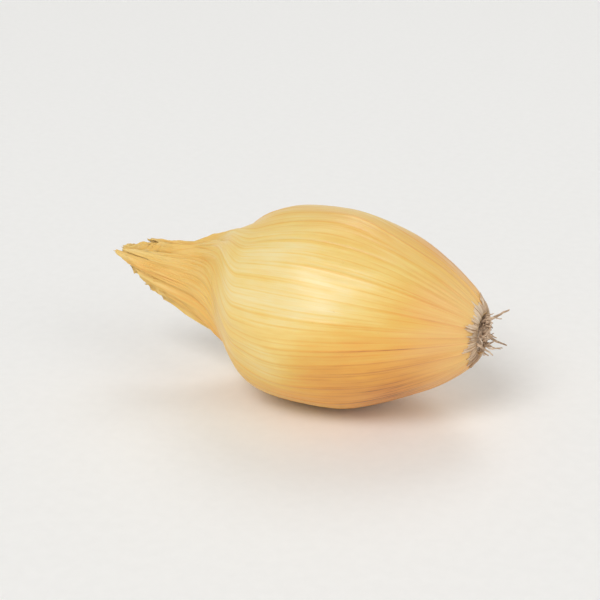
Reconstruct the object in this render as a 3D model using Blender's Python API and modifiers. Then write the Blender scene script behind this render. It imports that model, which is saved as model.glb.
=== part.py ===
"""An onion set: a small dry onion bulb sold for planting, lying on its side.

Metres, +Z up. The bulb's axis runs along X: the root plate is at +X and the papery neck is at -X.
The origin is the middle of the small flat spot that the bulb rests on.
"""

import math
import random

import bmesh
import bpy
from mathutils import Vector

MM = 0.001

# The bulb
BULB_RADIUS = 9.2 * MM
REST_DEPTH = 0.5 * MM  # how far the belly is flattened where it rests
AXIS_HEIGHT = BULB_RADIUS - REST_DEPTH
ROOT_END = 14.4 * MM  # from the resting spot to the rim of the root plate, along +X

# Distance from the root plate's rim and radius, from the plate's middle to the neck's tip
OUTLINE = tuple(
    Vector((station * MM, radius * MM))
    for station, radius in (
        (0.95, 0.0),
        (0.85, 0.9),
        (0.35, 1.6),
        (0.0, 2.05),
        (0.5, 2.95),
        (1.9, 4.3),
        (4.3, 6.05),
        (7.4, 7.7),
        (11.0, 8.85),
        (14.5, 9.2),
        (17.7, 8.85),
        (20.5, 7.9),
        (22.8, 6.35),
        (24.7, 4.7),
        (26.6, 3.5),
        (28.5, 2.8),
        (30.4, 2.35),
        (32.3, 1.8),
        (34.0, 1.05),
        (34.8, 0.0),
    )
)
RIM = 3 / (len(OUTLINE) - 1)  # the share of the outline where the rim of the root plate is
HALVINGS = 40  # how closely a place on the outline is found
RINGS = 3 * (len(OUTLINE) - 1)
SIDES = 56
SHARP_EDGE = math.radians(40)

# Unevenness of the body, as shares of its radius, and the broad flutes over its scales
LEAN = 0.018
LEAN_TOWARDS = 0.7
OVAL = 0.022
OVAL_TOWARDS = 0.5
FLUTES = 7
FLUTE_DEPTH = 0.008
FLUTE_WANDER = 0.9
UNEVEN_FROM = 6 * MM

# The neck: dry leaf bases, pressed flat, pleated, twisted and bent up
NECK_START = 20.0 * MM
NECK_FULL = 28.0 * MM
NECK_TIP = 36.5 * MM
NECK_BROAD = math.radians(62)  # which way its broad side stands
NECK_WIDER = 0.22
NECK_THINNER = 0.42
NECK_TWIST = math.radians(38)
NECK_RISE = 2.6 * MM
NECK_SWAY = -1.2 * MM
PLEATS = 9
PLEAT_DEPTH = 0.07
PLEAT_WANDER = 1.4

# The torn ends of the leaf bases, which hug the neck and run out in papery points
PAPER = 0.6 * MM
TONGUE_SUNK = 0.75 * MM
TONGUE_TOGETHER = 0.9 * MM  # how near the neck's middle the tips come
TONGUE_POINT = 0.16 * MM
TONGUE_NARROWS = 1.7
TONGUE_EVEN = 0.2  # the share of its way in or out that a tongue makes evenly, the rest near its tip
TONGUE_STEPS = (10, 6)
TONGUES = (  # angle round the neck in degrees, distance from the rim, length, width, curl outwards
    (338, 25.9 * MM, 10.4 * MM, 5.2 * MM, 0.25 * MM),
    (142, 26.3 * MM, 8.9 * MM, 4.8 * MM, 0.45 * MM),
    (62, 26.9 * MM, 6.9 * MM, 3.4 * MM, 0.6 * MM),
    (236, 26.1 * MM, 7.6 * MM, 3.8 * MM, 0.5 * MM),
)

# The root plate and the dry rootlets on it
PLATE_RADIUS = 1.3 * MM
PLATE_NARROWS = 0.8
PLATE_INNER = 0.55 * MM
PLATE_OUTER = -0.15 * MM
PLATE_SIDES = 20
ROOTLETS = 26
ROOTLET_RADIUS = 0.3 * MM
ROOTLET_NARROWS = 0.35
ROOTLET_LENGTHS = (0.9 * MM, 2.3 * MM)
ROOTLET_STEPS = 4
ROOTLET_SPREAD = 0.86  # how much of the plate they cover
ROOTLET_TILT = math.radians(12)
ROOTLET_FAN = math.radians(50)
ROOTLET_STRAY = 0.15
ROOTLET_BEND = 0.5
GOLDEN_ANGLE = math.pi * (3 - math.sqrt(5))
ROOT_SEED = 12
WELD = 0.005 * MM

SKIN_COLOUR = (0.78, 0.45, 0.14, 1.0)
SKIN_ROUGHNESS = 0.35
ROOT_COLOUR = (0.40, 0.27, 0.16, 1.0)
ROOT_ROUGHNESS = 0.9


def clear_scene():
    for old in list(bpy.data.objects):
        bpy.data.objects.remove(old, do_unlink=True)


def new_collection(name, shown=True):
    collection = bpy.data.collections.new(name)
    bpy.context.scene.collection.children.link(collection)
    collection.hide_render = not shown
    return collection


def material(name, colour, roughness):
    made = bpy.data.materials.new(name)
    made.use_nodes = True
    shader = made.node_tree.nodes["Principled BSDF"]
    shader.inputs["Base Color"].default_value = colour
    shader.inputs["Roughness"].default_value = roughness
    shader.inputs["Metallic"].default_value = 0.0
    return made


def smooth_step(low, high, value):
    share = min(max((value - low) / (high - low), 0.0), 1.0)
    return share * share * (3 - 2 * share)


def outline_point(share):
    """Distance from the root plate's rim and radius at a share of the outline, on a smooth curve."""
    spans = len(OUTLINE) - 1
    span = min(int(share * spans), spans - 1)
    t = share * spans - span
    before = OUTLINE[max(span - 1, 0)]
    start, end = OUTLINE[span], OUTLINE[span + 1]
    after = OUTLINE[min(span + 2, spans)]
    return 0.5 * (
        2 * start
        + (end - before) * t
        + (2 * before - 5 * start + 4 * end - after) * t**2
        + (3 * start - before - 3 * end + after) * t**3
    )


def outline_radius(station):
    """The outline's radius this far from the root plate's rim, and 0 past the neck's tip."""
    if station >= OUTLINE[-1][0]:
        return 0.0
    low, high = RIM, 1.0
    for _ in range(HALVINGS):
        middle = (low + high) / 2
        if outline_point(middle)[0] < station:
            low = middle
        else:
            high = middle
    return outline_point(low)[1]


def section_radius(station, radius, angle):
    """The radius there, with the body's unevenness and the neck's pleats. Angle 0 is -Y and 90 is +Z."""
    neck = smooth_step(NECK_START, NECK_FULL, station)
    body = smooth_step(0.0, UNEVEN_FROM, station) * (1 - neck)
    uneven = LEAN * math.cos(angle - LEAN_TOWARDS) + OVAL * math.cos(2 * angle + OVAL_TOWARDS)
    flutes = FLUTE_DEPTH * math.cos(FLUTES * angle + FLUTE_WANDER * math.sin(angle))
    pleats = PLEAT_DEPTH * math.cos(PLEATS * angle + PLEAT_WANDER * math.sin(angle))
    return radius * (1 + body * (uneven + flutes) + neck * pleats)


def place(station, radius, angle):
    """The point at that radius round the axis, with the neck's flattening, twist and bend."""
    neck = smooth_step(NECK_START, NECK_FULL, station)
    broad = radius * math.cos(angle - NECK_BROAD) * (1 + NECK_WIDER * neck)
    thin = radius * math.sin(angle - NECK_BROAD) * (1 - NECK_THINNER * neck)
    turned = NECK_BROAD + NECK_TWIST * neck
    along_y = broad * math.cos(turned) - thin * math.sin(turned)
    along_z = broad * math.sin(turned) + thin * math.cos(turned)
    bend = (max(station - NECK_START, 0.0) / (NECK_TIP - NECK_START)) ** 2
    return Vector(
        (
            ROOT_END - station,
            NECK_SWAY * bend - along_y,
            AXIS_HEIGHT + NECK_RISE * bend + along_z,
        )
    )


def object_of(name, mesh, collection, finish):
    made = bpy.data.objects.new(name, mesh)
    collection.objects.link(made)
    mesh.materials.clear()
    mesh.materials.append(finish)
    mesh.shade_smooth()
    mesh.set_sharp_from_angle(angle=SHARP_EDGE)
    return made


def join(target, pieces):
    """Joins the pieces into the target as one solid, and removes them."""
    union = target.modifiers.new("Join", "BOOLEAN")
    union.operation = "UNION"
    union.operand_type = "COLLECTION"
    union.collection = pieces
    union.solver = "MANIFOLD"
    bpy.context.view_layer.update()
    graph = bpy.context.evaluated_depsgraph_get()
    whole = bpy.data.meshes.new_from_object(target.evaluated_get(graph))
    target.modifiers.clear()
    target.data = whole
    for piece in list(pieces.objects):
        bpy.data.objects.remove(piece, do_unlink=True)
    bpy.data.collections.remove(pieces)


def body_mesh():
    """A sphere whose rings are moved onto the bulb's outline, cut flat where it rests."""
    bm = bmesh.new()
    bmesh.ops.create_uvsphere(bm, u_segments=SIDES, v_segments=RINGS, radius=1.0)
    for vert in bm.verts:
        share = math.acos(min(max(vert.co.z, -1.0), 1.0)) / math.pi
        station, radius = outline_point(share)
        angle = math.atan2(vert.co.y, vert.co.x)
        vert.co = place(station, section_radius(station, radius, angle), angle)
    cut = bmesh.ops.bisect_plane(
        bm,
        geom=bm.verts[:] + bm.edges[:] + bm.faces[:],
        plane_co=(0, 0, 0),
        plane_no=(0, 0, -1),
        clear_outer=True,
    )
    rim = [edge for edge in cut["geom_cut"] if isinstance(edge, bmesh.types.BMEdge)]
    bmesh.ops.contextual_create(bm, geom=rim)
    bmesh.ops.recalc_face_normals(bm, faces=bm.faces)
    mesh = bpy.data.meshes.new("bulb")
    bm.to_mesh(mesh)
    bm.free()
    return mesh


def tongue(index, settings, collection, finish):
    """One torn leaf base: it leaves the neck's side, hugs the neck and narrows to a papery point."""
    degrees, root, length, width, curl = settings
    angle = math.radians(degrees)
    root_radius = outline_radius(root) - TONGUE_SUNK
    tip_radius = max(outline_radius(root + length), TONGUE_TOGETHER) + curl
    bm = bmesh.new()
    steps_along, steps_across = TONGUE_STEPS
    bmesh.ops.create_grid(bm, x_segments=steps_along, y_segments=steps_across, size=1.0)
    for vert in bm.verts:
        along, across = (vert.co.x + 1) / 2, vert.co.y
        half = TONGUE_POINT + width / 2 * (1 - along**TONGUE_NARROWS)
        way = TONGUE_EVEN * along + (1 - TONGUE_EVEN) * along**2
        radius = root_radius + (tip_radius - root_radius) * way
        vert.co = place(root + along * length, radius, angle + across * half / root_radius)
    bmesh.ops.triangulate(bm, faces=bm.faces, quad_method="FIXED")
    bmesh.ops.recalc_face_normals(bm, faces=bm.faces)
    mesh = bpy.data.meshes.new(f"tongue_{index}")
    bm.to_mesh(mesh)
    bm.free()
    made = object_of(f"tongue_{index}", mesh, collection, finish)
    solidify = made.modifiers.new("Paper", "SOLIDIFY")
    solidify.thickness = PAPER
    solidify.offset = 0.0
    solidify.use_even_offset = False


def bulb(collection, finish):
    made = object_of("bulb", body_mesh(), collection, finish)
    tongues = new_collection("neck tongues", shown=False)
    for index, settings in enumerate(TONGUES):
        tongue(index, settings, tongues, finish)
    join(made, tongues)


def weld(mesh):
    bm = bmesh.new()
    bm.from_mesh(mesh)
    bmesh.ops.remove_doubles(bm, verts=bm.verts, dist=WELD)
    bmesh.ops.recalc_face_normals(bm, faces=bm.faces)
    bm.to_mesh(mesh)
    bm.free()


def rootlet(index, draw, collection, finish):
    """A short dry root: a bent, tapering wire that starts inside the plate."""
    turn = index * GOLDEN_ANGLE
    out = PLATE_RADIUS * ROOTLET_SPREAD * math.sqrt((index + 0.5) / ROOTLETS)
    length = draw.uniform(*ROOTLET_LENGTHS)
    stray = draw.uniform(-ROOTLET_STRAY, ROOTLET_STRAY)
    tilt = ROOTLET_TILT + ROOTLET_FAN * out / PLATE_RADIUS + stray
    bend = draw.uniform(-ROOTLET_BEND, ROOTLET_BEND)
    wire = bpy.data.curves.new(f"rootlet_{index}", "CURVE")
    wire.dimensions = "3D"
    wire.bevel_depth = ROOTLET_RADIUS
    wire.bevel_resolution = 0
    wire.use_fill_caps = True
    spline = wire.splines.new("POLY")
    spline.points.add(ROOTLET_STEPS - 1)
    start = ROOT_END - (PLATE_INNER + PLATE_OUTER) / 2
    for step, point in enumerate(spline.points):
        share = step / (ROOTLET_STEPS - 1)
        heading = turn + bend * share
        away = out + length * share * math.sin(tilt)
        point.co = (
            start + length * share * math.cos(tilt),
            -away * math.cos(heading),
            AXIS_HEIGHT + away * math.sin(heading),
            1.0,
        )
        point.radius = 1.0 - ROOTLET_NARROWS * share
    guide = bpy.data.objects.new("rootlet guide", wire)
    collection.objects.link(guide)
    bpy.context.view_layer.update()
    graph = bpy.context.evaluated_depsgraph_get()
    mesh = bpy.data.meshes.new_from_object(guide.evaluated_get(graph))
    bpy.data.objects.remove(guide, do_unlink=True)
    weld(mesh)
    object_of(f"rootlet_{index}", mesh, collection, finish)


def root_tuft(collection, finish):
    """The corky root plate in its hollow, with the dry rootlets fused to it."""
    bm = bmesh.new()
    bmesh.ops.create_cone(
        bm,
        cap_ends=True,
        segments=PLATE_SIDES,
        radius1=PLATE_RADIUS,
        radius2=PLATE_RADIUS * PLATE_NARROWS,
        depth=PLATE_INNER - PLATE_OUTER,
    )
    middle = (PLATE_INNER + PLATE_OUTER) / 2
    for vert in bm.verts:
        x, y, z = vert.co
        vert.co = (ROOT_END - middle + z, y, AXIS_HEIGHT - x)
    mesh = bpy.data.meshes.new("root_tuft")
    bm.to_mesh(mesh)
    bm.free()
    made = object_of("root_tuft", mesh, collection, finish)
    rootlets = new_collection("rootlets", shown=False)
    draw = random.Random(ROOT_SEED)
    for index in range(ROOTLETS):
        rootlet(index, draw, rootlets, finish)
    join(made, rootlets)


def main():
    clear_scene()
    onion_set = new_collection("onion set")
    bulb(onion_set, material("onion skin", SKIN_COLOUR, SKIN_ROUGHNESS))
    root_tuft(onion_set, material("dry root", ROOT_COLOUR, ROOT_ROUGHNESS))


main()
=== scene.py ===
"""The looks of an onion set: a small dry onion bulb, lying on its side.

Metres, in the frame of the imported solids: the root plate is at +X, the papery neck at -X, and the bulb
rests at the origin. A place on the bulb is a station, which is the distance from the root plate's rim
along the bulb, and an angle round its axis, where 0 is -Y and 90 degrees is +Z. A share runs along the
outline, from 0 in the middle of the root plate's hollow to 1 beyond the neck's tip.
"""

import math
import random
from collections import namedtuple

import bmesh
import bpy
import numpy as np
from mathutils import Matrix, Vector, noise


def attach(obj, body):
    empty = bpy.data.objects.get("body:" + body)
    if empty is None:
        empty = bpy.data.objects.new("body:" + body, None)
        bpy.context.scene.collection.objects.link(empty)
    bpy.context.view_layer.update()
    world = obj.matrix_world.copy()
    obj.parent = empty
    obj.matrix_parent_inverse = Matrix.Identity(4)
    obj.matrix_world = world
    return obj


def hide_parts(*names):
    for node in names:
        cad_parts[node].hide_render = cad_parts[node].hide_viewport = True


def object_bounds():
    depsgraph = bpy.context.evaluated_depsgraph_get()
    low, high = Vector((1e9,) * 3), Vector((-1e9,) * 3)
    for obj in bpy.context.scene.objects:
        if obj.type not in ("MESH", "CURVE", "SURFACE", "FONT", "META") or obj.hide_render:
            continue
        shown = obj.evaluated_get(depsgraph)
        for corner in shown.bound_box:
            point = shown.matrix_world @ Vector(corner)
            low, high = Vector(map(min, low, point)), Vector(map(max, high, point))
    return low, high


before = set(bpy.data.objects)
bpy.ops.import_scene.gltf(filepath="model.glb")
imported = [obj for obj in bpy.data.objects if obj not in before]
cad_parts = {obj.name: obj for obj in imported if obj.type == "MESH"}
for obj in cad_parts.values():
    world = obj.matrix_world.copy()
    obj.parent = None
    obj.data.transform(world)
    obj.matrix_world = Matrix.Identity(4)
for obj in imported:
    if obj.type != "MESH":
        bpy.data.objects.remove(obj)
CAD_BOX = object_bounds()

MM = 0.001

# The form, as in the solids, but with the neck's end left open
BULB_RADIUS = 9.2 * MM
REST_DEPTH = 0.5 * MM
AXIS_HEIGHT = BULB_RADIUS - REST_DEPTH
ROOT_END = 14.4 * MM
OUTLINE = MM * np.array(
    (
        (0.95, 0.0),
        (0.85, 0.9),
        (0.35, 1.6),
        (0.0, 2.05),
        (0.5, 2.95),
        (1.9, 4.3),
        (4.3, 6.05),
        (7.4, 7.7),
        (11.0, 8.85),
        (14.5, 9.2),
        (17.7, 8.85),
        (20.5, 7.9),
        (22.8, 6.35),
        (24.7, 4.7),
        (26.6, 3.5),
        (28.5, 2.8),
        (30.4, 2.35),
        (32.3, 1.95),
        (34.5, 1.45),
        (37.1, 0.9),
    )
)
RIM = 3 / (len(OUTLINE) - 1)  # the share of the outline where the rim of the root plate is
LOOKUP_STEPS = 2000  # how closely a place on the outline is found

# Unevenness of the body, as shares of its radius, and the broad flutes over its scales
LEAN = 0.018
LEAN_TOWARDS = 0.7
OVAL = 0.022
OVAL_TOWARDS = 0.5
FLUTES = 7
FLUTE_DEPTH = 0.008
FLUTE_WANDER = 0.9
UNEVEN_FROM = 6 * MM

# The neck: dry leaf bases, pressed flat, pleated, twisted and bent up
NECK_START = 20.0 * MM
NECK_FULL = 28.0 * MM
NECK_TIP = 36.5 * MM
NECK_BROAD = math.radians(62)  # which way its broad side stands
NECK_WIDER = 0.22
NECK_THINNER = 0.42
NECK_TWIST = math.radians(38)
NECK_RISE = 2.6 * MM
NECK_SWAY = -1.2 * MM
PLEATS = 9
PLEAT_DEPTH = 0.07
PLEAT_WANDER = 1.4

# The skin laid on that form
SKIN_DEPTH = 0.17 * MM  # how far it is under the solids' surface, so that its relief stays inside them
REST_HEIGHT = 0.02 * MM  # the skin's least height over the floor
REST_SOFTNESS = 0.08 * MM  # how gradually it comes down to that height
THINNEST = 0.12 * MM  # the least radius of a rolled layer
START = 0.003  # the share where the skin starts, which the root plate covers
ROUND = 504  # points round the bulb
ALONG = 150  # rows of the outer skin up to its base
HIDDEN_ROWS = 6  # rows of an inner layer of the neck up to its base
END_ROWS = 36  # rows from a layer's base to its torn edge
PAPER = 0.07 * MM  # how thick the skin is where it is torn
HEM = (0.0, 0.012, 0.024)  # how far the rows past the edge are turned back, as shares, to show it
NEAR_EDGE = 3  # the power by which a torn edge's curl and paleness grow towards it

# Random waves over the skin: size, cycles round the bulb, lengths along it, how many, and the seed
Waves = namedtuple("Waves", "size around lengths count seed")
HOLLOWS = Waves(0.10 * MM, (1, 6), (7 * MM, 22 * MM), 7, 11)
FIBRES = Waves(0.010 * MM, (30, 90), (9 * MM, 30 * MM), 9, 17)
PUCKERS = Waves(0.05 * MM, (16, 34), (5 * MM, 14 * MM), 6, 23)
CREASES = Waves(0.11, (3, 12), (12 * MM, 40 * MM), 6, 29)
WANDER = Waves(0.05, (1, 4), (14 * MM, 40 * MM), 5, 3)
MOTTLE = Waves(0.07, (1, 6), (8 * MM, 26 * MM), 7, 41)
CURLING = Waves(0.5, (3, 9), (6 * MM, 20 * MM), 4, 13)
FRAY = Waves(0.13 * MM, (14, 90), (1 * MM, 2 * MM), 8, 19)
# The ragged edge of the soil and painted shade in the root plate's hollow
SOIL_AND_SHADE_RAGGING = Waves(0.10, (5, 30), (2 * MM, 6 * MM), 6, 31)
CRUMPLE = Waves(0.045, (14, 40), (6 * MM, 16 * MM), 7, 37)
BLUSH_EDGE = Waves(1.0 * MM, (4, 30), (8 * MM, 30 * MM), 7, 43)

# The stations between which each kind of skin gives way to the next
PAPERY = (21.5 * MM, 28.5 * MM)
PUCKERED = (0.3 * MM, 4.5 * MM)
SHOULDER = (15.5 * MM, 23.5 * MM)
VEINED = (-1.0 * MM, 2.0 * MM)
BLUSHING = (1.0 * MM, 6.5 * MM)
ROOT_DRY = (0.5 * MM, 3.5 * MM)
SOIL_AND_SHADE_EDGE = (0.75, 1.25)  # in the rim's share
EDGE_PALER = 0.12  # how much paler a torn edge is

# Veins from root to neck: how many, their half width and unevenness in spaces between two, the step of
# their random pattern, and the length over which one fades in and out
Veins = namedtuple("Veins", "count width uneven step fade")
MAIN_VEINS = Veins(42, 0.15, 0.20, 17, 5.0 * MM)
FINE_VEINS = Veins(126, 0.24, 0.16, 47, 3.0 * MM)
VEIN_HEIGHT = 0.05 * MM
VEIN_LEAST = 0.15

# A torn edge has tongues: the middle and half width in degrees, and the station of the tip. A rip
# takes it back along the fibres by its depth.
Tongue = namedtuple("Tongue", "degrees half tip")
Rip = namedtuple("Rip", "degrees half depth")
POINTEDNESS = 1.25
TONGUE_SHIFT = 0.4  # how far a random tongue may be from its even place, in spaces between two

# A layer of papery skin: from its start to its torn edge, as far in as its depth, and with its relief
# turned so that no two layers are alike. All the layers lie close but for the neck's end.
Layer = namedtuple("Layer", "name start base depth curl turn tone tongues rips")
PRESSED = 0.25  # the share of its depth that a layer keeps where it lies close
PARTING = (30.0 * MM, 35.0 * MM)  # the stations between which the layers come apart

# The inner layers of the neck, and the steps from each to the next one in
NECK_LAYERS = 7
NECK_LAYER_START = 28.5 * MM
NECK_LAYER_BASE = 31.1 * MM
NECK_LAYER_CURL = 0.16 * MM
BASE_STEP = 0.48 * MM
DEPTH_STEP = 0.20 * MM
TURN_STEP = 1.3
TONE_STEP = 0.03
NECK_TONGUES = 4
NECK_HALF = (34, 62)
NECK_TIPS = (32.9 * MM, 35.7 * MM)
NECK_RIPS = 3
RIP_HALF = (2.2, 3.2)
RIP_DEPTH = (1.4 * MM, 2.6 * MM)
NECK_SEED = 5

# The torn edge of the outer skin
OUTER_BASE = 29.7 * MM
OUTER_CURL = 0.22 * MM
OUTER_TONGUES = (
    Tongue(338, 74, 35.8 * MM),
    Tongue(70, 34, 32.9 * MM),
    Tongue(152, 50, 34.2 * MM),
    Tongue(222, 40, 32.5 * MM),
    Tongue(265, 22, 31.7 * MM),
)
OUTER_RIPS = (
    Rip(311, 2.6, 3.0 * MM),
    Rip(349, 2.2, 3.6 * MM),
    Rip(8, 2.8, 2.2 * MM),
    Rip(143, 2.8, 2.2 * MM),
    Rip(214, 2.4, 1.6 * MM),
)

# The ragged edge of older skins round the root plate
COLLAR_START = 0.6  # in the rim's share, so inside the hollow
COLLAR_BASE = 0.2 * MM
COLLAR_DEPTH = -0.24 * MM
COLLAR_CURL = 0.09 * MM
COLLAR_ROWS = 12
COLLAR_TONGUES = 32
COLLAR_HALF = (4, 14)
COLLAR_TIPS = (0.30 * MM, 0.90 * MM)
COLLAR_SEED = 8
FLAP = Tongue(168, 13, 2.6 * MM)  # one longer strip, on the far side

# Colours, linear
CREAM = (0.88, 0.73, 0.37, 1.0)
STRAW = (0.87, 0.63, 0.20, 1.0)
GOLD = (0.83, 0.51, 0.11, 1.0)
AMBER = (0.82, 0.40, 0.07, 1.0)
COPPER = (0.68, 0.28, 0.055, 1.0)
RUST = (0.30, 0.10, 0.03, 1.0)
DULL = (0.77, 0.48, 0.17, 1.0)
BLUSH = (0.88, 0.56, 0.27, 1.0)
# Dark brown for soil in the root plate's hollow, which also stands in for painted shade in that recess
SOIL_AND_SHADE = (0.20, 0.105, 0.05, 1.0)
ASH = (0.82, 0.67, 0.50, 1.0)
ASHEN_TAN = (0.70, 0.50, 0.32, 1.0)
ASHEN_BROWN = (0.34, 0.19, 0.095, 1.0)
CORK = (0.50, 0.37, 0.26, 1.0)
DARK_CORK = (0.12, 0.07, 0.04, 1.0)
ROOT = (0.64, 0.47, 0.33, 1.0)
DARK_ROOT = (0.18, 0.10, 0.055, 1.0)
PALE_ROOT = (0.78, 0.66, 0.54, 1.0)
FLOOR = (0.90, 0.90, 0.895, 1.0)
FLOOR_PALE = (0.92, 0.92, 0.915, 1.0)
BLACK = (0.0, 0.0, 0.0, 1.0)
WHITE = (1.0, 1.0, 1.0, 1.0)
TONES = ((0.05, CREAM), (0.26, STRAW), (0.46, GOLD), (0.66, AMBER), (0.86, COPPER), (1.0, RUST))
ASHEN_TONES = ((0.30, ASH), (0.48, ASHEN_TAN), (0.68, ASHEN_BROWN), (0.92, RUST))

# A colour laid over the skin where an attribute says
Overlay = namedtuple("Overlay", "attribute weight colour")
BLUSHED = Overlay("blush", 0.40, BLUSH)
DULLED = Overlay("dull", 0.28, DULL)
# Laid over the skin in and round the root plate's hollow: soil, and painted shade in that recess
SOILED_AND_SHADED = Overlay("soil_and_shade", 0.90, SOIL_AND_SHADE)

# A finish of the skin: how strong its streaks and veins are, its roughness, gloss and inner glow
Skin = namedtuple("Skin", "name tones overlays streaks rough coat glow")
ONION_SKIN = Skin("onion skin", TONES, (BLUSHED, DULLED, SOILED_AND_SHADED), 1.0, 0.40, 0.28, 0.10)
PAPERY_SKIN = Skin("papery skin", TONES, (DULLED,), 1.0, 0.48, 0.12, 0.10)
ASHEN_SKIN = Skin("ashen skin", ASHEN_TONES, (SOILED_AND_SHADED,), 1.7, 0.60, 0.05, 0.05)

# Where the skin is paler (below 0) or more coppery. Some patches are its own uneven tone; the rest are
# painted light: the paler patches on the upper front, where the key lamp falls, are a painted highlight,
# and the coppery patches low on the front and underneath are painted shade.
TONE = 0.38
Patch = namedtuple("Patch", "station degrees reach spread amount")
TONE_AND_LIGHT_PATCHES = (
    Patch(16.3 * MM, 29, 8.6 * MM, 53, -0.31),
    Patch(19.8 * MM, 205, 6.0 * MM, 45, -0.18),
    Patch(8.6 * MM, -31, 6.9 * MM, 47, 0.38),
    Patch(6.0 * MM, 47, 3.0 * MM, 22, -0.15),
    Patch(3.5 * MM, 30, 3.4 * MM, 200, 0.16),
    Patch(12.5 * MM, 262, 8.8 * MM, 46, 0.24),
    Patch(8.0 * MM, 150, 6.0 * MM, 38, 0.30),
    Patch(22.0 * MM, 110, 3.5 * MM, 34, 0.16),
    Patch(23.5 * MM, 300, 4.0 * MM, 50, 0.12),
)

# Noise patterns: how fast one changes along the fibres, as a share of how fast across them, its scale
# per millimetre, and its detail and roughness
Texture = namedtuple("Texture", "stretch scale detail roughness")
BROAD = Texture(0.34, 0.50, 3.0, 0.6)
STREAK = Texture(0.06, 2.4, 5.0, 0.6)
THREAD = Texture(0.04, 8.0, 4.0, 0.7)
SPECK = Texture(0.8, 1.9, 6.0, 0.75)
CORK_GRAIN = Texture(1.0, 1.6, 6.0, 0.7)
ROOT_GRAIN = Texture(1.0, 1.1, 6.0, 0.7)
FLOOR_GRAIN = Texture(1.0, 900.0, 3.0, 0.6)  # its scale is per metre

# How much each pattern shifts the skin's tone: broad mottling, streaks and threads, main and fine veins
BROAD_TONE = 0.46
STREAK_TONES = (0.22, 0.22)
VEIN_TONES = (0.20, 0.15)

# The skin's specks, roughness, inner glow and bump
SPECK_STOPS = ((0.66, BLACK), (0.74, WHITE))
SPECK_WEIGHT = 0.35
STREAK_ROUGHNESS = 0.22
DRY_ROUGHNESS = 0.20
COAT_ROUGHNESS = 0.32
GLOW_COLOURS = (1.0, 0.5, 0.18)
GLOW_REACH = 1.0 * MM
BUMP_WEIGHTS = (0.7, 0.5, 0.35)  # of streaks, threads and fine veins
SKIN_BUMP = 0.5
SKIN_BUMP_HEIGHT = 0.04 * MM

# The finishes of the root plate, its rootlets and the floor
ROOT_STOPS = (0.32, 0.52, 0.72)  # where the dark, the light and the pale colour are
ROOT_ROUGHNESS = 0.85
ROOT_BUMP = 0.8
ROOT_BUMP_HEIGHT = 0.06 * MM
FLOOR_STOPS = ((0.3, FLOOR), (0.7, FLOOR_PALE))
FLOOR_ROUGHNESS = 0.7

# The numbers of the mix node's colour sockets, which share their names with others
MIX_FACTOR, MIX_FIRST, MIX_SECOND, MIX_RESULT = 0, 6, 7, 2

# The root plate and its rootlets
PLATE_RADIUS = 1.52 * MM
PLATE_HEIGHT = 0.52 * MM
PLATE_DEPTH = 0.45 * MM
PLATE_FINENESS = 6
PLATE_ROUGH = 0.10
ROUGH_SCALE = 3.0
ROUGH_FRACTAL = (0.9, 2.1, 5)  # its dimension, lacunarity and octaves
PLATE_PITS = 0.05
PITS_SCALE = 7.0
ROOTLETS = 84
ROOTLET_STEPS = 12
ROOTLET_BEVEL = 2  # how round one is
ROOTLET_SPREAD = 1.3 * MM
ROOTLET_SUNK = 0.25 * MM  # behind the rim in the plate's middle, and twice that at its edge
ROOTLET_LENGTH = (0.7 * MM, 1.5 * MM)
ROOTLET_RADIUS = (0.07 * MM, 0.13 * MM)
ROOTLET_THICKEST = 1.35  # the share of that radius at its root
ROOTLET_NARROWS = 0.9  # how much smaller that share is at its tip
ROOTLET_TILT = math.radians(14)  # how far from the axis one leans in the plate's middle
ROOTLET_FAN = math.radians(62)  # how much farther it leans at the plate's edge
ROOTLET_STRAY = 0.3  # how far from that it may lean, in radians
ROOTLET_SHIFT = 0.2  # how far round from its even place it may be, in radians
ROOTLET_WOBBLE = 0.25  # how far each step may turn it at random
ROOTLET_CURL = 0.16  # how far each step turns it one way
GOLDEN_ANGLE = math.pi * (3 - math.sqrt(5))
ROOTLET_SEED = 12
LONG_EVERY = 5
LONGER = 2.0
HOLLOW_CLEAR = 1.6 * MM  # how far from the axis a rootlet may be before it is past the rim
RIM_CLEAR = 0.12 * MM
REACH_MARGIN = 0.1 * MM

# Light and camera: degrees and metres
Lamp = namedtuple("Lamp", "name azimuth elevation distance size power colour")
LAMPS = (
    Lamp("key", -8, 48, 1.8, 1.0, 14.8, (1.0, 0.985, 0.95)),
    Lamp("fill", 75, 34, 1.8, 1.0, 4.7, (1.0, 0.99, 0.97)),
    Lamp("back", 190, 50, 1.8, 0.9, 5.6, (1.0, 1.0, 1.0)),
)
SKY = (1.0, 0.995, 0.985, 1.0)
SKY_STRENGTH = 0.38
FLOOR_RADIUS = 0.6
FLOOR_CURVE = 0.3  # the radius of the curve in which the floor rises at its edge
FLOOR_SIDES = 128
CURVE_STEPS = 24
CAMERA_AZIMUTH = 25
CAMERA_ELEVATION = 22
CAMERA_DISTANCE = 0.128
CAMERA_LENS = 85
CAMERA_CLIP = (0.004, 10)


def smooth_step(low, high, value):
    """A share that runs from 0 at low to 1 at high, level at both ends."""
    share = np.clip((value - low) / (high - low), 0.0, 1.0)
    return share * share * (3 - 2 * share)


def outline_point(share):
    """Station and radius at shares of the outline, on a smooth curve through its points."""
    spans = len(OUTLINE) - 1
    span = np.minimum((share * spans).astype(int), spans - 1)
    t = (share * spans - span)[..., None]
    before = OUTLINE[np.maximum(span - 1, 0)]
    start, end = OUTLINE[span], OUTLINE[span + 1]
    after = OUTLINE[np.minimum(span + 2, spans)]
    point = 0.5 * (
        2 * start
        + (end - before) * t
        + (2 * before - 5 * start + 4 * end - after) * t**2
        + (3 * start - before - 3 * end + after) * t**3
    )
    return point[..., 0], point[..., 1]


SHARES = np.linspace(RIM, 1.0, LOOKUP_STEPS)
STATIONS = outline_point(SHARES)[0]


def share_at(station):
    """The share of the outline at a station outside the root plate's hollow."""
    return np.interp(station, STATIONS, SHARES)


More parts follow.
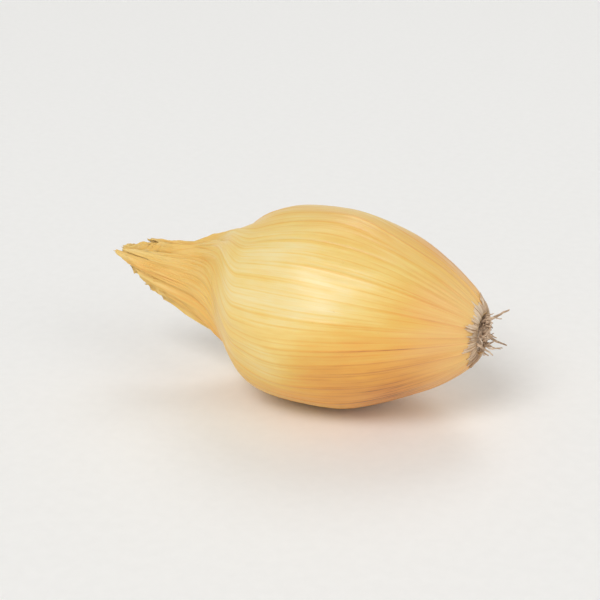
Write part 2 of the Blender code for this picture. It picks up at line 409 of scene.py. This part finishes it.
def section_radius(station, radius, angle):
    """The radii there, with the body's unevenness and the neck's pleats."""
    neck = smooth_step(NECK_START, NECK_FULL, station)
    body = smooth_step(0.0, UNEVEN_FROM, station) * (1 - neck)
    uneven = LEAN * np.cos(angle - LEAN_TOWARDS) + OVAL * np.cos(2 * angle + OVAL_TOWARDS)
    flutes = FLUTE_DEPTH * np.cos(FLUTES * angle + FLUTE_WANDER * np.sin(angle))
    pleats = PLEAT_DEPTH * np.cos(PLEATS * angle + PLEAT_WANDER * np.sin(angle))
    return radius * (1 + body * (uneven + flutes) + neck * pleats)


def place(station, radius, angle):
    """The points at that radius round the axis, with the neck's flattening, twist and bend."""
    neck = smooth_step(NECK_START, NECK_FULL, station)
    broad = radius * np.cos(angle - NECK_BROAD) * (1 + NECK_WIDER * neck)
    thin = radius * np.sin(angle - NECK_BROAD) * (1 - NECK_THINNER * neck)
    turned = NECK_BROAD + NECK_TWIST * neck
    along_y = broad * np.cos(turned) - thin * np.sin(turned)
    along_z = broad * np.sin(turned) + thin * np.cos(turned)
    bend = (np.maximum(station - NECK_START, 0.0) / (NECK_TIP - NECK_START)) ** 2
    x = ROOT_END - station
    y = NECK_SWAY * bend - along_y
    z = AXIS_HEIGHT + NECK_RISE * bend + along_z
    return np.stack(np.broadcast_arrays(x, y, z), axis=-1)


def waves(angle, station, kind):
    """Seamless random waves over the skin, mostly within plus and minus their size."""
    draw = random.Random(kind.seed)
    total = 0.0
    for _ in range(kind.count):
        turns = draw.randint(*kind.around)
        pace = math.tau / draw.uniform(*kind.lengths) * draw.choice((-1, 1))
        total = total + np.cos(turns * angle + pace * station + draw.uniform(0, math.tau))
    return kind.size * total / math.sqrt(kind.count)


def turn_between(angle, degrees):
    """The signed turn from a direction in degrees to each angle, within half a turn."""
    return np.angle(np.exp(1j * (angle - math.radians(degrees))))


def torn_edge(angle, layer):
    """The station where a layer ends at each angle: its longest tongue there, ripped and frayed."""
    edge = np.full_like(angle, layer.base)
    for tongue in layer.tongues:
        away = np.abs(turn_between(angle, tongue.degrees)) / math.radians(tongue.half)
        reach = tongue.tip - (tongue.tip - layer.base) * np.minimum(away, 1.0) ** POINTEDNESS
        edge = np.maximum(edge, reach)
    for rip in layer.rips:
        away = np.abs(turn_between(angle, rip.degrees)) / math.radians(rip.half)
        edge = edge - rip.depth * np.maximum(1.0 - away, 0.0)
    return edge + waves(angle, 0.0, FRAY)


def fibre_angle(station, angle):
    """The angle that the fibres follow as they wander along the bulb."""
    return angle + waves(angle, station, WANDER)


def vein_lines(station, fibre, veins):
    """How much of a vein is at each point, from 0 to 1, at a fibre's angle."""
    turn = veins.count * fibre / math.tau
    index = np.round(turn)
    phase = index * math.tau * veins.step / veins.count
    away = np.abs(turn - index - veins.uneven * np.sin(phase))
    strength = 0.5 + 0.5 * np.sin(phase + station / veins.fade)
    return (1 - smooth_step(0.0, veins.width, away)) * np.maximum(strength, VEIN_LEAST)


def relief(station, angle, radius):
    """The fine height of the skin over the form: veins, shallow hollows, and creases at both ends."""
    neck = smooth_step(*PAPERY, station)
    ends = np.maximum(1 - smooth_step(*PUCKERED, station), smooth_step(*SHOULDER, station))
    body = (1 - neck) * smooth_step(*VEINED, station)
    fine = waves(angle, station, HOLLOWS) + waves(angle, station, FIBRES)
    veins = VEIN_HEIGHT * vein_lines(station, fibre_angle(station, angle), MAIN_VEINS)
    folds = CREASES.size / 2 - np.abs(waves(angle, station, CREASES))
    folds = folds + CRUMPLE.size / 2 - np.abs(waves(angle, station, CRUMPLE))
    return body * (fine + veins) + ends * waves(angle, station, PUCKERS) + neck * folds * radius


def skin_point(share, angle, lift, turn):
    """Points of the skin, raised by lift. Its relief is turned, so that no two layers are alike."""
    station, radius = outline_point(share)
    raised = section_radius(station, radius, angle) + relief(station, angle + turn, radius)
    points = place(station, np.maximum(raised - SKIN_DEPTH + lift, THINNEST), angle)
    over = points[..., 2] - REST_HEIGHT
    points[..., 2] = REST_HEIGHT + (over + np.sqrt(over**2 + REST_SOFTNESS**2)) / 2
    return points


def tone_with_painted_light(station, angle):
    """How coppery the skin is, from 0, pale cream, to 1, deep copper, with painted light: a painted
    highlight on the upper front and painted shade low on the front and underneath.
    """
    tone = TONE + waves(angle, station, MOTTLE)
    # Some patches are painted light: paler on the upper front for a painted highlight, more coppery low
    # down and underneath for painted shade
    for patch in TONE_AND_LIGHT_PATCHES:
        turn = turn_between(angle, patch.degrees) / math.radians(patch.spread)
        away = ((station - patch.station) / patch.reach) ** 2 + turn**2
        tone = tone + patch.amount * np.exp(-away)
    return tone


def skin_attributes(share, angle, turn, tone, progress):
    """What the skin's material reads: where its fibres run, its tone, which holds painted highlight and
    shade, where it is dry, and where soil and painted shade darken it in the root plate's hollow.
    """
    station = outline_point(share)[0]
    fibre = fibre_angle(station, angle + turn)
    girth = BULB_RADIUS / MM
    neck = smooth_step(*PAPERY, station)
    # How far out from the root plate's hollow each point is, for the soil and painted shade there
    soil_and_shade_reach = share / RIM * (1 + waves(angle, station, SOIL_AND_SHADE_RAGGING))
    return {
        "fibre": np.stack((girth * np.cos(fibre), girth * np.sin(fibre), station / MM), axis=-1),
        # The tone, with the painted highlight and painted shade of the patches in it
        "tone": tone_with_painted_light(station, angle) + tone - EDGE_PALER * progress**NEAR_EDGE,
        "dull": neck,
        "blush": 1 - smooth_step(*BLUSHING, station + waves(angle, station, BLUSH_EDGE)),
        "dry": np.maximum(neck, 1 - smooth_step(*ROOT_DRY, station)),
        "soil_and_shade": 1 - smooth_step(*SOIL_AND_SHADE_EDGE, soil_and_shade_reach),
    }


def grid_object(name, points, attributes):
    """A mesh over rows of points that each run round the bulb, facing outwards."""
    rows, columns = points.shape[:2]
    index = np.arange(rows * columns).reshape(rows, columns)
    following = np.roll(index, -1, axis=1)
    quads = np.stack((index[:-1], following[:-1], following[1:], index[1:]), axis=-1).reshape(-1, 4)
    mesh = bpy.data.meshes.new(name)
    mesh.from_pydata(points.reshape(-1, 3).tolist(), [], quads.tolist())
    for key, values in attributes.items():
        is_vector = values.ndim == 3
        layer = mesh.attributes.new(key, "FLOAT_VECTOR" if is_vector else "FLOAT", "POINT")
        layer.data.foreach_set("vector" if is_vector else "value", values.astype(np.float32).ravel())
    mesh.shade_smooth()
    return link(name, mesh)


def link(name, data):
    """A new object in the scene, with that mesh, curve, light or camera."""
    made = bpy.data.objects.new(name, data)
    bpy.context.scene.collection.objects.link(made)
    return made


def dress(made, finish, node_name):
    """Gives a piece its finish and says what it rides on and stands for."""
    made.data.materials.clear()
    made.data.materials.append(finish)
    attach(made, "root")
    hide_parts(node_name)


def layer_rows(layer, rows):
    """Shares and angles in level rows up to a layer's base, and then on to its torn edge.

    The third result is how far each is on its way from the base to that edge.
    """
    angle = np.arange(ROUND) * math.tau / ROUND
    base = share_at(layer.base)
    level = np.linspace(layer.start, base, rows)[:, None] + np.zeros_like(angle)
    steps = np.linspace(0.0, 1.0, END_ROWS + 1)[1:, None]
    tail = base + (share_at(torn_edge(angle, layer)) - base) * steps
    hem = tail[-1:] - np.array(HEM)[:, None]
    share = np.vstack((level, tail, hem))
    progress = np.vstack((np.zeros_like(level), steps + np.zeros_like(tail), np.ones_like(hem)))
    return share, np.broadcast_to(angle, share.shape), progress


def papery_layer(finish, layer, rows):
    """A layer of skin, pressed close at first and curled out at its torn edge."""
    share, angle, progress = layer_rows(layer, rows)
    station = outline_point(share)[0]
    curling = np.maximum(waves(angle, station, CURLING) + CURLING.size, 0.0)
    apart = smooth_step(*PARTING, station)
    turn = layer.turn * apart
    curl = layer.curl * progress**NEAR_EDGE * curling
    lift = curl - layer.depth * (PRESSED + (1 - PRESSED) * apart)
    lift[-len(HEM) :] -= PAPER
    points = skin_point(share, angle, lift, turn)
    made = grid_object(layer.name, points, skin_attributes(share, angle, turn, layer.tone, progress))
    dress(made, finish, "bulb")


def bulb_skin(finish):
    """The outer skin, from the root plate's hollow to the torn papery point of the neck."""
    layer = Layer(
        name="bulb_skin",
        start=START,
        base=OUTER_BASE,
        depth=0.0,
        curl=OUTER_CURL,
        turn=0.0,
        tone=0.0,
        tongues=OUTER_TONGUES,
        rips=OUTER_RIPS,
    )
    papery_layer(finish, layer, ALONG)


def drawn_tongues(draw, count, half, tips):
    """That many tongues round an edge, roughly evenly, of random widths and lengths."""
    tongues = []
    for index in range(count):
        degrees = (index + draw.uniform(-TONGUE_SHIFT, TONGUE_SHIFT)) * 360 / count
        tongues.append(Tongue(degrees, draw.uniform(*half), draw.uniform(*tips)))
    return tongues


def drawn_rips(draw, count):
    """That many rips anywhere round an edge, of random widths and depths."""
    rips = []
    for _ in range(count):
        rips.append(Rip(draw.uniform(0, 360), draw.uniform(*RIP_HALF), draw.uniform(*RIP_DEPTH)))
    return rips


def neck_layers(finish):
    """The inner skins of the neck, rolled one inside another, each torn in its own way."""
    draw = random.Random(NECK_SEED)
    for index in range(1, NECK_LAYERS + 1):
        layer = Layer(
            name=f"neck_layer_{index}",
            start=share_at(NECK_LAYER_START),
            base=NECK_LAYER_BASE + BASE_STEP * index,
            depth=DEPTH_STEP * index,
            curl=NECK_LAYER_CURL,
            turn=TURN_STEP * index,
            tone=TONE_STEP * index,
            tongues=drawn_tongues(draw, NECK_TONGUES, NECK_HALF, NECK_TIPS),
            rips=drawn_rips(draw, NECK_RIPS),
        )
        papery_layer(finish, layer, HIDDEN_ROWS)


def root_collar(finish):
    """The ragged, pale, dry edge of older skins, round the root plate."""
    tongues = drawn_tongues(random.Random(COLLAR_SEED), COLLAR_TONGUES, COLLAR_HALF, COLLAR_TIPS)
    layer = Layer(
        name="root_collar",
        start=COLLAR_START * RIM,
        base=COLLAR_BASE,
        depth=COLLAR_DEPTH,
        curl=COLLAR_CURL,
        turn=0.0,
        tone=0.0,
        tongues=[FLAP] + tongues,
        rips=(),
    )
    papery_layer(finish, layer, COLLAR_ROWS)


def root_plate(finish):
    """The corky root plate: a low dome, rough all over, with the stumps of its roots."""
    bm = bmesh.new()
    bmesh.ops.create_icosphere(bm, subdivisions=PLATE_FINENESS, radius=1.0)
    for vert in bm.verts:
        x, y, z = vert.co
        rough = 1 + PLATE_ROUGH * noise.fractal(vert.co * ROUGH_SCALE, *ROUGH_FRACTAL)
        rough += PLATE_PITS * noise.cell(vert.co * PITS_SCALE)
        vert.co = (
            ROOT_END - PLATE_DEPTH + PLATE_HEIGHT * rough * z,
            PLATE_RADIUS * rough * y,
            AXIS_HEIGHT + PLATE_RADIUS * rough * x,
        )
    mesh = bpy.data.meshes.new("root_plate")
    bm.to_mesh(mesh)
    bm.free()
    mesh.shade_smooth()
    dress(link("root_plate", mesh), finish, "root_tuft")


def inside_hollow(point):
    """Keeps a point that isn't past the rim yet within the hollow of the root plate."""
    away = Vector((0.0, point.y, point.z - AXIS_HEIGHT))
    if point.x > ROOT_END + RIM_CLEAR or away.length < HOLLOW_CLEAR:
        return point
    return Vector((point.x, 0.0, AXIS_HEIGHT)) + away.normalized() * HOLLOW_CLEAR


def random_vector(draw, size):
    """A vector whose parts are each drawn within plus and minus that size."""
    return Vector([draw.uniform(-size, size) for _ in range(3)])


def rootlet(wires, draw, out, turn, length):
    """One wiry rootlet, curled and broken short, out from the plate at that share of its radius."""
    limit = CAD_BOX[1].x - REACH_MARGIN
    fan = ROOTLET_TILT + ROOTLET_FAN * out + draw.uniform(-ROOTLET_STRAY, ROOTLET_STRAY)
    side = Vector((0.0, -math.cos(turn), math.sin(turn)))
    point = Vector((ROOT_END, 0.0, AXIS_HEIGHT)) + side * ROOTLET_SPREAD * out
    point.x -= ROOTLET_SUNK * (1 + out**2)
    heading = Vector((math.cos(fan), 0.0, 0.0)) + side * math.sin(fan)
    thick = draw.uniform(*ROOTLET_RADIUS)
    swirl = random_vector(draw, 1)
    spline = wires.splines.new("POLY")
    spline.points.add(ROOTLET_STEPS - 1)
    for step, control in enumerate(spline.points):
        point = inside_hollow(point)
        control.co = (min(point.x, limit), point.y, point.z, 1.0)
        control.radius = thick * (ROOTLET_THICKEST - ROOTLET_NARROWS * step / (ROOTLET_STEPS - 1))
        wobble = random_vector(draw, ROOTLET_WOBBLE)
        heading = (heading + ROOTLET_CURL * swirl.cross(heading) + wobble).normalized()
        point = point + heading * length / (ROOTLET_STEPS - 1)


def rootlets(finish):
    """Fine dry rootlets all over the plate, a few of them longer than the rest."""
    draw = random.Random(ROOTLET_SEED)
    wires = bpy.data.curves.new("rootlets", "CURVE")
    wires.dimensions = "3D"
    wires.bevel_depth = 1.0  # so that each point's radius is its thickness
    wires.bevel_resolution = ROOTLET_BEVEL
    wires.use_fill_caps = True
    for index in range(ROOTLETS):
        out = math.sqrt((index + 0.5) / ROOTLETS)
        turn = index * GOLDEN_ANGLE + draw.uniform(-ROOTLET_SHIFT, ROOTLET_SHIFT)
        length = draw.uniform(*ROOTLET_LENGTH) * (LONGER if index % LONG_EVERY == 0 else 1.0)
        rootlet(wires, draw, out, turn, length)
    dress(link("rootlets", wires), finish, "root_tuft")


def node(tree, kind, inputs, **settings):
    """A shader node, with its inputs' values or links, and its settings given by name."""
    made = tree.nodes.new(kind)
    for key, value in settings.items():
        setattr(made, key, value)
    for key, value in inputs.items():
        if isinstance(value, bpy.types.NodeSocket):
            tree.links.new(value, made.inputs[key])
        else:
            made.inputs[key].default_value = value
    return made


def ramp(tree, factor, stops):
    """The colour at that factor between stops, which are pairs of a position and a colour."""
    made = node(tree, "ShaderNodeValToRGB", {"Fac": factor})
    elements = made.color_ramp.elements
    while len(elements) < len(stops):
        elements.new(0.5)
    for element, (position, colour) in zip(elements, stops):
        element.position = position
        element.color = colour
    return made.outputs["Color"]


def attribute(tree, name, output="Fac"):
    """What a mesh attribute says at each point."""
    return node(tree, "ShaderNodeAttribute", {}, attribute_name=name).outputs[output]


def maths(tree, operation, first, second=0.0):
    """The result of one sum on values or links."""
    return node(tree, "ShaderNodeMath", {0: first, 1: second}, operation=operation).outputs[0]


def add_share(tree, total, pattern, weight):
    """Adds a pattern that runs from 0 to 1, taken about its middle, at that weight."""
    centred = maths(tree, "SUBTRACT", pattern, 0.5)
    return maths(tree, "ADD", total, maths(tree, "MULTIPLY", centred, weight))


def textured(tree, vector, texture):
    """A noise whose pattern is stretched along the fibres."""
    mapped = node(tree, "ShaderNodeMapping", {"Vector": vector, "Scale": (1.0, 1.0, texture.stretch)})
    inputs = {
        "Vector": mapped.outputs["Vector"],
        "Scale": texture.scale,
        "Detail": texture.detail,
        "Roughness": texture.roughness,
    }
    return node(tree, "ShaderNodeTexNoise", inputs).outputs["Fac"]


def mix(tree, factor, first, second):
    """A colour that goes from the first to the second as the factor goes from 0 to 1."""
    inputs = {MIX_FACTOR: factor, MIX_FIRST: first, MIX_SECOND: second}
    return node(tree, "ShaderNodeMix", inputs, data_type="RGBA").outputs[MIX_RESULT]


def drawn_veins(tree, fibre, veins):
    """The lines of vein_lines, worked out again in the shader, where they stay sharp."""
    parts = node(tree, "ShaderNodeSeparateXYZ", {"Vector": fibre}).outputs
    angle = maths(tree, "ARCTAN2", parts["Y"], parts["X"])
    turn = maths(tree, "MULTIPLY", angle, veins.count / math.tau)
    index = maths(tree, "ROUND", turn)
    phase = maths(tree, "MULTIPLY", index, math.tau * veins.step / veins.count)
    aside = maths(tree, "MULTIPLY", maths(tree, "SINE", phase), veins.uneven)
    away = maths(tree, "SUBTRACT", maths(tree, "SUBTRACT", turn, index), aside)
    fading = maths(tree, "ADD", phase, maths(tree, "MULTIPLY", parts["Z"], MM / veins.fade))
    half = maths(tree, "MULTIPLY", maths(tree, "SINE", fading), 0.5)
    strength = maths(tree, "ADD", half, 0.5)
    inputs = {
        "Value": maths(tree, "ABSOLUTE", away),
        "From Max": veins.width,
        "To Min": 1.0,
        "To Max": 0.0,
    }
    line = node(tree, "ShaderNodeMapRange", inputs, interpolation_type="SMOOTHSTEP").outputs[0]
    return maths(tree, "MULTIPLY", line, maths(tree, "MAXIMUM", strength, VEIN_LEAST))


def new_material(name):
    """A new material, its node tree and its shader."""
    made = bpy.data.materials.new(name)
    made.use_nodes = True
    return made, made.node_tree, made.node_tree.nodes["Principled BSDF"]


def set_bump(tree, shader, height, strength, distance):
    """Gives the shader a bump from a height, where 1 is as high as the distance."""
    inputs = {"Height": height, "Strength": strength, "Distance": distance}
    tree.links.new(node(tree, "ShaderNodeBump", inputs).outputs["Normal"], shader.inputs["Normal"])


def skin_colour(tree, fibre, skin, patterns):
    """The skin's colour: its tone, with its painted light and shade, streaks and veins, then specks, the
    dry ends, and the soil and painted shade in the root plate's hollow.
    """
    tone = add_share(tree, attribute(tree, "tone"), textured(tree, fibre, BROAD), BROAD_TONE)
    for pattern, weight in zip(patterns[:2], STREAK_TONES):
        tone = add_share(tree, tone, pattern, weight * skin.streaks)
    for pattern, weight in zip(patterns[2:], VEIN_TONES):
        tone = maths(tree, "ADD", tone, maths(tree, "MULTIPLY", pattern, weight * skin.streaks))
    colour = ramp(tree, tone, skin.tones)
    spots = ramp(tree, textured(tree, fibre, SPECK), SPECK_STOPS)
    colour = mix(tree, maths(tree, "MULTIPLY", spots, SPECK_WEIGHT), colour, RUST)
    for over in skin.overlays:
        cover = maths(tree, "MULTIPLY", attribute(tree, over.attribute), over.weight)
        colour = mix(tree, cover, colour, over.colour)
    return colour


def skin_material(skin):
    """Dry onion skin: cream to copper, streaked and veined along its fibres, with a satin gloss."""
    made, tree, shader = new_material(skin.name)
    fibre = attribute(tree, "fibre", "Vector")
    streak = textured(tree, fibre, STREAK)
    thread = textured(tree, fibre, THREAD)
    veins = drawn_veins(tree, fibre, MAIN_VEINS)
    fine = drawn_veins(tree, fibre, FINE_VEINS)
    colour = skin_colour(tree, fibre, skin, (streak, thread, veins, fine))
    tree.links.new(colour, shader.inputs["Base Color"])
    gloss = add_share(tree, skin.rough, streak, STREAK_ROUGHNESS)
    gloss = maths(tree, "ADD", gloss, maths(tree, "MULTIPLY", attribute(tree, "dry"), DRY_ROUGHNESS))
    tree.links.new(gloss, shader.inputs["Roughness"])
    shader.inputs["Coat Weight"].default_value = skin.coat
    shader.inputs["Coat Roughness"].default_value = COAT_ROUGHNESS
    shader.inputs["Subsurface Weight"].default_value = skin.glow
    shader.inputs["Subsurface Radius"].default_value = GLOW_COLOURS
    shader.inputs["Subsurface Scale"].default_value = GLOW_REACH
    height = 0.0
    for pattern, weight in zip((streak, thread, fine), BUMP_WEIGHTS):
        height = maths(tree, "ADD", maths(tree, "MULTIPLY", pattern, weight), height)
    set_bump(tree, shader, height, SKIN_BUMP, SKIN_BUMP_HEIGHT)
    return made


def root_material(name, dark, light, grain):
    """Dry cork or root: matt, mottled from dark brown to grey tan."""
    made, tree, shader = new_material(name)
    where = node(tree, "ShaderNodeTexCoord", {}).outputs["Object"]
    mapped = node(tree, "ShaderNodeMapping", {"Vector": where, "Scale": (1 / MM, 1 / MM, 1 / MM)})
    mottle = textured(tree, mapped.outputs["Vector"], grain)
    colour = ramp(tree, mottle, tuple(zip(ROOT_STOPS, (dark, light, PALE_ROOT))))
    tree.links.new(colour, shader.inputs["Base Color"])
    shader.inputs["Roughness"].default_value = ROOT_ROUGHNESS
    set_bump(tree, shader, mottle, ROOT_BUMP, ROOT_BUMP_HEIGHT)
    return made


def floor_material():
    """A plain pale floor, with a grain that is hardly seen."""
    made, tree, shader = new_material("pale floor")
    where = node(tree, "ShaderNodeTexCoord", {}).outputs["Object"]
    colour = ramp(tree, textured(tree, where, FLOOR_GRAIN), FLOOR_STOPS)
    tree.links.new(colour, shader.inputs["Base Color"])
    shader.inputs["Roughness"].default_value = FLOOR_ROUGHNESS
    return made


def floor(finish):
    """A floor that curves up at its far edge, so that no horizon shows."""
    bm = bmesh.new()
    bmesh.ops.create_circle(bm, cap_ends=True, segments=FLOOR_SIDES, radius=FLOOR_RADIUS)
    rim = [edge for edge in bm.edges if edge.is_boundary]
    for step in range(1, CURVE_STEPS + 1):
        bend = math.radians(90) * step / CURVE_STEPS
        radius = FLOOR_RADIUS + FLOOR_CURVE * math.sin(bend)
        raised = bmesh.ops.extrude_edge_only(bm, edges=rim)["geom"]
        rim = [part for part in raised if isinstance(part, bmesh.types.BMEdge)]
        for vert in {vert for edge in rim for vert in edge.verts}:
            flat = vert.co.xy.normalized() * radius
            vert.co = (flat.x, flat.y, FLOOR_CURVE * (1 - math.cos(bend)))
    mesh = bpy.data.meshes.new("floor")
    bm.to_mesh(mesh)
    bm.free()
    mesh.materials.append(finish)
    mesh.shade_smooth()
    link("floor", mesh)


def aim(thing, azimuth, elevation, distance):
    """Puts a thing that far from the bulb's middle, facing it. Azimuth 0 is on -Y and 90 on +X."""
    middle = (CAD_BOX[0] + CAD_BOX[1]) / 2
    a, e = math.radians(azimuth), math.radians(elevation)
    way = Vector((math.sin(a) * math.cos(e), -math.cos(a) * math.cos(e), math.sin(e)))
    thing.location = middle + way * distance
    thing.rotation_euler = (-way).to_track_quat("-Z", "Y").to_euler()


def studio():
    """A pale room with three large soft lamps."""
    world = bpy.data.worlds.new("studio")
    bpy.context.scene.world = world
    world.use_nodes = True
    sky = world.node_tree.nodes["Background"]
    sky.inputs["Color"].default_value = SKY
    sky.inputs["Strength"].default_value = SKY_STRENGTH
    for lamp in LAMPS:
        data = bpy.data.lights.new(lamp.name, "AREA")
        data.shape = "DISK"
        data.size = lamp.size
        data.energy = lamp.power
        data.color = lamp.colour
        aim(link(lamp.name, data), lamp.azimuth, lamp.elevation, lamp.distance)
    bpy.context.scene.view_settings.view_transform = "Standard"


def camera():
    """A camera that looks towards the root end, from a little above."""
    data = bpy.data.cameras.new("camera")
    data.lens = CAMERA_LENS
    data.clip_start, data.clip_end = CAMERA_CLIP
    made = link("camera", data)
    aim(made, CAMERA_AZIMUTH, CAMERA_ELEVATION, CAMERA_DISTANCE)
    bpy.context.scene.camera = made


def main():
    camera()
    studio()
    floor(floor_material())
    bulb_skin(skin_material(ONION_SKIN))
    neck_layers(skin_material(PAPERY_SKIN))
    root_collar(skin_material(ASHEN_SKIN))
    root_plate(root_material("root plate", DARK_CORK, CORK, CORK_GRAIN))
    rootlets(root_material("rootlets", DARK_ROOT, ROOT, ROOT_GRAIN))


main()
